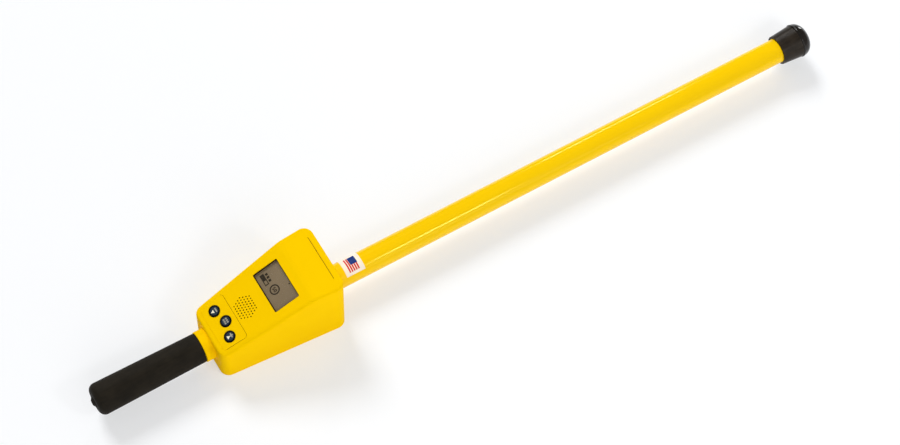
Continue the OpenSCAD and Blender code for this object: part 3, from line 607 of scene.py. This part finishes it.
def round_edges(bm, wanted, size):
    """Rounds the sharp edges whose two vertices pass a test."""
    edges = [e for e in bm.edges if len(e.link_faces) == 2
             and e.calc_face_angle(0) > CORNER and all(wanted(v.co) for v in e.verts)]
    bmesh.ops.bevel(bm, geom=edges, offset=size, offset_type="OFFSET", segments=3, profile=0.5,
                    affect="EDGES", clamp_overlap=False, material=-1)


def grow(bm, out, wanted, gap):
    """Moves the sides of a plate outwards where all the sides at a vertex pass a test."""
    bm.normal_update()
    moves = []
    for vert in bm.verts:
        sides = [f for f in vert.link_faces if abs(f.normal.dot(out)) < SIDE]
        if sides and all(wanted(f) for f in sides):
            way = sum((f.normal for f in sides), Vector())
            moves.append((vert, gap * way.normalized()))
    for vert, move in moves:
        vert.co += move


def near(value, target):
    return abs(value - target) < ON_LEVEL


# Housing and the plates let into it

# The sounder's holes: how far up the face they lie, and a circle that holds them all
SOUNDER_UP = 58.2 * MM
GRILLE_R = 19 * MM
# The gap that the CAD leaves round a plate
TRIM_GAP = 0.3 * MM
# From here up the face, the near side of the keypad's skin carries a painted shade line
SIDE_LINE_FROM = 14 * MM
# The width of the painted shade line at the front end of the top film
FILM_LINE = 0.6 * MM
OPENING_ROUND = 0.2 * MM
SKIN_ROUND = 0.5 * MM
# The cosine for a side of the keypad's skin together with its rounded edge
ROUNDED_SIDE = 0.9
BUTTONS = ("button_left", "button_middle", "button_right")
# A circle round a button that holds its hole
BUTTON_HOLE_R = 9 * MM


def middle_of(node):
    low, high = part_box(node)
    return (low + high) / 2


BUTTON_AT = {name: TO_FACE @ middle_of(name) for name in BUTTONS}


def at_face(point):
    return near(point.dot(FACE_OUT), FACE_LEVEL)


def in_grille(point):
    up, across, _ = TO_FACE @ point
    return math.hypot(up - SOUNDER_UP, across) < GRILLE_R


def at_opening(point):
    """On the control face, but not at the sounder's small holes."""
    return at_face(point) and not in_grille(point)


def housing():
    """The shell with softened openings and painted shade on the walls of the sounder's holes."""
    bm = merged("housing_shell")
    round_edges(bm, at_opening, OPENING_ROUND)
    bm.normal_update()
    # The walls of the sounder's holes get the painted shade
    for face in bm.faces:
        wall = abs(face.normal.dot(FACE_OUT)) < SIDE
        face.material_index = int(wall and in_grille(face.calc_center_median()))
    finishes = [FINISHES["yellow_shell"], HOLE_SHADE]
    new_piece("housing_moulding", bm, "housing", finishes, ["housing_shell"])


def at_button(place):
    return any(math.hypot(place.x - at.x, place.y - at.y) < BUTTON_HOLE_R
               for at in BUTTON_AT.values())


def outer_side(face):
    """A side of the keypad's skin, but not of a button's hole."""
    return not at_button(TO_FACE @ face.calc_center_median())


def shut_side(face):
    """A side of the keypad's skin that fits tight: the far one and the one towards the grip."""
    return outer_side(face) and face.normal.dot(UP_SLOPE) < LOOKS and face.normal.y > -LOOKS


def open_side(face):
    """A rounded side of the keypad's skin that carries a painted shade line: the upper and the near one.
    """
    place = TO_FACE @ face.calc_center_median()
    upper = face.normal.dot(UP_SLOPE) > LOOKS
    near_one = face.normal.y < -LOOKS and place.x > SIDE_LINE_FROM
    rounded = abs(face.normal.dot(FACE_OUT)) < ROUNDED_SIDE
    return rounded and (upper or near_one) and not at_button(place)


def keypad_skin():
    """The keypad's panel, tight on two sides and with a fine line of painted shade along the other two.
    """
    bm = merged("keypad_overlay")
    grow(bm, FACE_OUT, outer_side, TRIM_GAP / 2)
    grow(bm, FACE_OUT, shut_side, TRIM_GAP / 2)
    round_edges(bm, at_face, SKIN_ROUND)
    bm.normal_update()
    # The open sides carry the painted shade line
    for face in bm.faces:
        face.material_index = int(open_side(face))
    finishes = [FINISHES["yellow_panel"], EDGE_SHADE]
    new_piece("keypad_skin", bm, "housing", finishes, ["keypad_overlay"])


def top_film():
    """The plate on the flat top, tight on three sides and with a fine line of painted shade at its front
    end.
    """
    bm = merged("top_plate")
    _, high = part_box("top_plate")
    grow(bm, Vector((0, 0, 1)), lambda face: face.normal.x < LOOKS, TRIM_GAP)
    line_x = high.x - FILM_LINE
    bmesh.ops.bisect_plane(bm, geom=bm.verts[:] + bm.edges[:] + bm.faces[:], dist=0.001 * MM,
                           plane_co=(line_x, 0, 0), plane_no=(1, 0, 0))
    # A strip along the front end gets the painted shade line
    for face in bm.faces:
        face.material_index = int(face.calc_center_median().x > line_x)
    finishes = [FINISHES["yellow_panel"], EDGE_SHADE]
    new_piece("top_film", bm, "housing", finishes, ["top_plate"])


# Collar, grip and tip cap

# How far the collar laps over the grip's seat
COLLAR_LAP = 3.0 * MM
COLLAR_ROUND = 0.7 * MM
# The bore of a sleeve that slips over the tube
BORE_R = TUBE_R + 0.1 * MM


def collar():
    """The ring between housing and grip, with a rounded rim that laps over the grip's seat."""
    low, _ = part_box("handle_collar")
    bm = merged("handle_collar")
    rim = [v for v in bm.verts if near(v.co.x, low.x)]
    rim_x = low.x - COLLAR_LAP
    bmesh.ops.translate(bm, verts=rim, vec=(-COLLAR_LAP, 0, 0))
    round_edges(bm, lambda point: near(point.x, rim_x), COLLAR_ROUND)
    finishes = [FINISHES["yellow_shell"]]
    new_piece("handle_collar_ring", bm, "housing", finishes, ["handle_collar"])


def grip():
    """Slip-on grip: tapered, with a round butt, a moulding nib in its middle and a rolled front edge."""
    low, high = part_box("grip")
    inset = 1.0 * MM
    swell = 0.5 * MM
    start = low.x + inset
    length = high.x - COLLAR_LAP - start
    nib = 2.4 * MM
    nib_r = 3.2 * MM
    nib_round = 1.2 * MM
    foot_r = 8.6 * MM
    foot_round = 1.0 * MM
    butt = 0.6 * MM
    butt_r = (high.z - low.z) / 2 + swell
    butt_round = 9 * MM
    front_r = 19.5 * MM
    front_round = 1.4 * MM
    bore_end = 7 * MM
    outline = [(0, -nib)]
    outline += arc(nib_r, nib_round - nib, nib_round, -90, -35, 4)
    outline += arc(foot_r, butt - foot_round, foot_round, 130, 90, 3)
    outline += arc(butt_r - butt_round, butt + butt_round, butt_round, -88, 0, 14)
    outline += arc(front_r - front_round, length - front_round, front_round, 0, 90, 8)
    outline += [(BORE_R, length), (BORE_R, bore_end), (0, bore_end)]
    bm = bmesh.new()
    turned(bm, outline, along_tube(start))
    new_piece("grip_sleeve", bm, "housing", [FINISHES["grip_rubber"]], ["grip"])


def tip_cap():
    """Slip-on foot: a cone, a raised bead where it is widest and a domed sole."""
    low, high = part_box("tip_cap")
    length = high.x - low.x
    rim = 2.9 * MM
    rim_r = 19.9 * MM
    rim_round = 0.5 * MM
    foot_r = (high.z - low.z) / 2
    foot = length - 9.7 * MM
    hollow_at = (foot_r + 1.1 * MM, foot - 3.8 * MM)
    hollow_round = 2 * MM
    bead_at = (foot_r - 1.0 * MM, foot - 0.9 * MM)
    bead_round = 1.3 * MM
    sole_r = foot_r - 0.25 * MM
    sole_round = 14 * MM
    sole_rise = 13.4 * MM
    sole_from = low.x + foot - 2.4 * MM
    bore_end = length - 8 * MM
    outline = [(BORE_R, rim)]
    outline += arc(rim_r - rim_round, rim + rim_round, rim_round, -90, 0, 5)
    outline += arc(*hollow_at, hollow_round, 186, 146, 6)
    outline += arc(*bead_at, bead_round, -44, 40, 8)
    for degrees in range(10, 95, 5):
        turn = math.radians(degrees)
        reach = sole_r - sole_round + sole_round * math.cos(turn)
        outline.append((reach, foot + sole_rise * math.sin(turn)))
    outline += [(0, foot + sole_rise), (0, bore_end), (BORE_R, bore_end)]
    bm = bmesh.new()
    turned(bm, outline, along_tube(low.x))
    for face in bm.faces:
        face.material_index = int(face.calc_center_median().x > sole_from)
    finishes = [FINISHES["cap_rubber"], CAP_SOLE]
    new_piece("tip_foot", bm, "housing", finishes, ["tip_cap"])


# Tube label

LABEL_LIFT = 0.03 * MM
LABEL_T = 0.12 * MM
LABEL_STEPS = 40


def tube_label():
    """Thin vinyl patch that follows the tube."""
    bm = bmesh.new()
    first, last = LABEL_TURN
    radius = TUBE_R + LABEL_LIFT
    edge_y = radius * math.sin(first)
    edge_z = AXIS_Z + radius * math.cos(first)
    ends = [bm.verts.new((x, edge_y, edge_z)) for x in LABEL_X]
    side = bm.edges.new(ends)
    bmesh.ops.spin(bm, geom=ends + [side], cent=(0, 0, AXIS_Z), axis=(-1, 0, 0), dvec=(0, 0, 0),
                   angle=last - first, steps=LABEL_STEPS, use_merge=False)
    bmesh.ops.recalc_face_normals(bm, faces=bm.faces)
    bm.normal_update()
    if bm.faces[:][LABEL_STEPS // 2].normal.z < 0:
        bmesh.ops.reverse_faces(bm, faces=bm.faces)
    bmesh.ops.solidify(bm, geom=bm.faces[:], thickness=-LABEL_T)
    bmesh.ops.recalc_face_normals(bm, faces=bm.faces)
    new_piece("tube_label", bm, "housing", [LABEL])


# Buttons

BUTTON_R = 7.5 * MM
BUTTON_RISE = 0.8 * MM
DISH_R = 5.5 * MM
DISH_FALL = 0.22 * MM

# Print in a dish: its thickness, and how deep it is sunk to stay on the hollow floor
PRINT_T = 0.11 * MM
PRINT_SINK = 0.045 * MM

# The signs, each with its size and its place up the face and across it
CELL = (2.3 * MM, 1.9 * MM, PRINT_T)
CELL_STEP = (1.7 * MM, 2.6 * MM)
BAR = (1.9 * MM, 6.0 * MM, PRINT_T)
CROSS_BAR = (4.4 * MM, 1.5 * MM, PRINT_T - 0.01 * MM)
BAR_AT = (2.3 * MM, 0)
ARROW_R = 2.8 * MM
ARROW_AT = (-2.2 * MM, 0)


def slab(bm, place, size, centre=(0, 0)):
    """Adds a thin block on a place: its size up, across and out, and its middle up and across."""
    up, across, out = size
    shape = Matrix.Diagonal((up, across, out, 1))
    middle = Matrix.Translation((centre[0], centre[1], out / 2))
    bmesh.ops.create_cube(bm, size=1, matrix=place @ middle @ shape)


def arrow(bm, place, towards):
    """Adds a thin triangle that points across the face: towards +1 or -1."""
    turn = Matrix.Rotation(math.radians(90 * towards), 4, "Z")
    middle = Matrix.Translation((ARROW_AT[0], ARROW_AT[1], PRINT_T / 2))
    bmesh.ops.create_cone(bm, cap_ends=True, segments=3, radius1=ARROW_R, radius2=ARROW_R,
                          depth=PRINT_T, matrix=place @ middle @ turn)


def button_cap(name, place):
    """Button with a rolled edge, a shallow dish, its flange under the wall and its stem."""
    stem_r = 2.5 * MM
    stem_end = -5.05 * MM
    flange_r = 8.7 * MM
    flange_low = -4.05 * MM
    flange_high = -3.05 * MM
    edge_round = 0.6 * MM
    lip = 0.3 * MM
    hollow = 0.04 * MM
    dish = BUTTON_RISE - DISH_FALL
    outline = [(0, stem_end), (stem_r, stem_end), (stem_r, flange_low), (flange_r, flange_low)]
    outline += [(flange_r, flange_high), (BUTTON_R, flange_high)]
    outline += arc(BUTTON_R - edge_round, BUTTON_RISE - edge_round, edge_round, 0, 90, 6)
    outline += arc(DISH_R + lip, dish, DISH_FALL, 90, 180, 4)
    outline += [(DISH_R - lip, dish), (DISH_R / 2, dish - 0.75 * hollow), (0, dish - hollow)]
    bm = bmesh.new()
    turned(bm, outline, place, SMALL_STEPS)
    for face in bm.faces:
        middle = face.calc_center_median() - place.translation
        out = middle.dot(FACE_OUT)
        reach = (middle - out * FACE_OUT).length
        face.material_index = int(out > 0 and reach < DISH_R)
    new_piece(name + "_cap", bm, name, [FINISHES["button"], NAVY], [name])


def buttons():
    """The three buttons: a grid of cells on the middle one, an arrow and a bar or plus on the others."""
    for name, middle in BUTTON_AT.items():
        button_cap(name, on_face(middle.x, middle.y))
        top = on_face(middle.x, middle.y, BUTTON_RISE - DISH_FALL - PRINT_SINK)
        sign = bmesh.new()
        if name == "button_middle":
            for row in (-1, 1):
                for column in (-1, 0, 1):
                    slab(sign, top, CELL, (row * CELL_STEP[0], column * CELL_STEP[1]))
        else:
            towards = 1 if name == "button_left" else -1
            pointer = bmesh.new()
            arrow(pointer, top, towards)
            new_piece(name + "_arrow", pointer, name, [CREAM_PRINT])
            slab(sign, top, BAR, BAR_AT)
            if towards < 0:
                slab(sign, top, CROSS_BAR, BAR_AT)
        new_piece(name + "_sign", sign, name, [GREY_PRINT])


# Display marks

MARK_T = 0.06 * MM
MARK_SINK = 0.01 * MM

# The gauge, its ticks and the edge tick, in millimetres: place up and across, size up and across
MARKS = (
    (95.8, 19.8, 5.8, 9.4),
    (95.8, 9.2, 5.8, 1.3),
    (93.5, 12.5, 1.2, 5.4),
    (98.1, 12.5, 1.2, 5.4),
    (101.6, 21.2, 3.4, 3.3),
    (101.6, 16.8, 3.4, 3.3),
    (101.6, 12.0, 3.4, 3.3),
    (120.0, -6.9, 1.8, 1.8),
)

# The ring and the two figures in it, in millimetres
RING_UP = 100.5
RING_ACROSS = -2.1
RING_IN = 5.1
RING_OUT = 6.8
FIGURES_ACROSS = {"5": -0.3, "0": -3.9}
FIGURE_STEP = 0.95
UPRIGHT = (1.9, 1.0)
LEVEL_BAR = (1.0, 1.7)

# The lit segments of each figure: millimetres to a side, or nought for a level bar, and steps up
SEGMENTS = {
    "5": ((0, 2), (0, 0), (0, -2), (-1, 1), (1, -1)),
    "0": ((0, 2), (0, -2), (-1, 1), (-1, -1), (1, 1), (1, -1)),
}


def display_marks():
    """Dark segments on the display: a level gauge, a ring with two figures and an edge tick."""
    panel_out = max((TO_FACE @ v.co).z for v in NODES["display_panel"].data.vertices)
    out = panel_out - MARK_SINK
    bm = bmesh.new()

    def mark(up, across, length, width):
        slab(bm, on_face(up * MM, across * MM, out), (length * MM, width * MM, MARK_T))

    for row in MARKS:
        mark(*row)
    for figure, across in FIGURES_ACROSS.items():
        for side, level in SEGMENTS[figure]:
            size = UPRIGHT if side else LEVEL_BAR
            mark(RING_UP + level * FIGURE_STEP, across - side, *size)
    outline = [(RING_IN * MM, 0), (RING_OUT * MM, 0), (RING_OUT * MM, MARK_T), (RING_IN * MM, MARK_T)]
    turned(bm, outline, on_face(RING_UP * MM, RING_ACROSS * MM, out), SMALL_STEPS)
    new_piece("display_marks", bm, "housing", [DISPLAY_MARK])


# Floor, light and camera

FLOOR_SIZE = 12
SKY_LEVEL = 0.30
SKY_LEAN = 0.9
SKY_SIDE = (-0.12, -0.93, 0.35)

# Wide soft lamps: level, spread in degrees and the way to the lamp
SUNS = {
    "key": (0.625, 22, Vector((0.0, 0.70, 0.714))),
    "fill": (0.255, 50, Vector((-0.10, -0.905, 0.41))),
}

# Strip lamps that draw the highlights: two ends, the place on the axis that they face, width, power
STRIPS = {
    "near": (Vector((0.59, -1.32, 1.49)), Vector((0.88, -1.31, 1.47)), 0.245, 0.30, 5.8),
    "far": (Vector((0.99, 1.70, 1.00)), Vector((1.32, 1.72, 0.90)), 0.52, 0.20, 4.4),
    "tip": (Vector((1.60, 0.45, 0.06)), Vector((1.60, 0.75, 0.20)), 0.8, 0.12, 3.2),
}

CAMERA_AT = Vector((-0.6102, -1.3598, 3.1387))
CAMERA_AZIMUTH = math.radians(-32.75)
CAMERA_ELEVATION = math.radians(62.57)
CAMERA_ROLL = math.radians(2.47)
CAMERA_LENS = 109.36
CAMERA_SENSOR = 36
CAMERA_CLIP = (0.05, 50)


def turn_of(right, up, back):
    """The turn of an object whose own x, y and z point these ways."""
    return Matrix((right, up, back)).transposed().to_4x4()


def floor():
    bm = bmesh.new()
    bmesh.ops.create_grid(bm, x_segments=2, y_segments=2, size=FLOOR_SIZE)
    mesh = bpy.data.meshes.new("floor")
    bm.to_mesh(mesh)
    bm.free()
    mesh.materials.append(floor_finish())
    link("floor", mesh)


def sky():
    """Even light from all round, a little stronger from one side."""
    world = bpy.data.worlds.new("studio")
    world.use_nodes = True
    bpy.context.scene.world = world
    tree = Tree(world.node_tree)
    way = tree.node("TexCoord")
    lean = tree.node("VectorMath", {"operation": "DOT_PRODUCT"}, {0: way, 1: SKY_SIDE}, 1)
    level = SKY_LEVEL * (1 + SKY_LEAN * lean)
    glow = tree.node("Background", None, {"Color": (1, 1, 1, 1), "Strength": level})
    tree.node("OutputWorld", None, {"Surface": glow})


def lamps():
    for name, (level, spread, way) in SUNS.items():
        sun = bpy.data.lights.new(name, "SUN")
        sun.energy = level * math.pi
        sun.angle = math.radians(spread)
        link(name, sun).rotation_euler = way.to_track_quat("Z", "Y").to_euler()
    for name, (first, last, aim_x, width, power) in STRIPS.items():
        strip = bpy.data.lights.new(name, "AREA")
        strip.shape = "RECTANGLE"
        strip.size = width
        strip.size_y = (last - first).length
        strip.energy = power
        middle = (first + last) / 2
        along = (last - first).normalized()
        side = along.cross(middle - Vector((aim_x, 0, AXIS_Z))).normalized()
        turn = turn_of(side, along, side.cross(along))
        link(name, strip).matrix_world = Matrix.Translation(middle) @ turn


def camera():
    eye = bpy.data.cameras.new("camera")
    eye.sensor_width = CAMERA_SENSOR
    eye.sensor_fit = "HORIZONTAL"
    eye.lens = CAMERA_LENS
    eye.clip_start, eye.clip_end = CAMERA_CLIP
    level = Vector((math.cos(CAMERA_AZIMUTH), math.sin(CAMERA_AZIMUTH), 0))
    away = Vector((math.sin(CAMERA_AZIMUTH), -math.cos(CAMERA_AZIMUTH), 0))
    back = math.cos(CAMERA_ELEVATION) * away + math.sin(CAMERA_ELEVATION) * Vector((0, 0, 1))
    right = math.cos(CAMERA_ROLL) * level + math.sin(CAMERA_ROLL) * back.cross(level)
    turn = turn_of(right, back.cross(right), back)
    held = link("camera", eye)
    held.matrix_world = Matrix.Translation(CAMERA_AT) @ turn
    bpy.context.scene.camera = held


bpy.context.scene.view_settings.view_transform = "Standard"
camera()
sky()
lamps()
floor()
housing()
keypad_skin()
top_film()
collar()
grip()
tip_cap()
tube_label()
buttons()
display_marks()
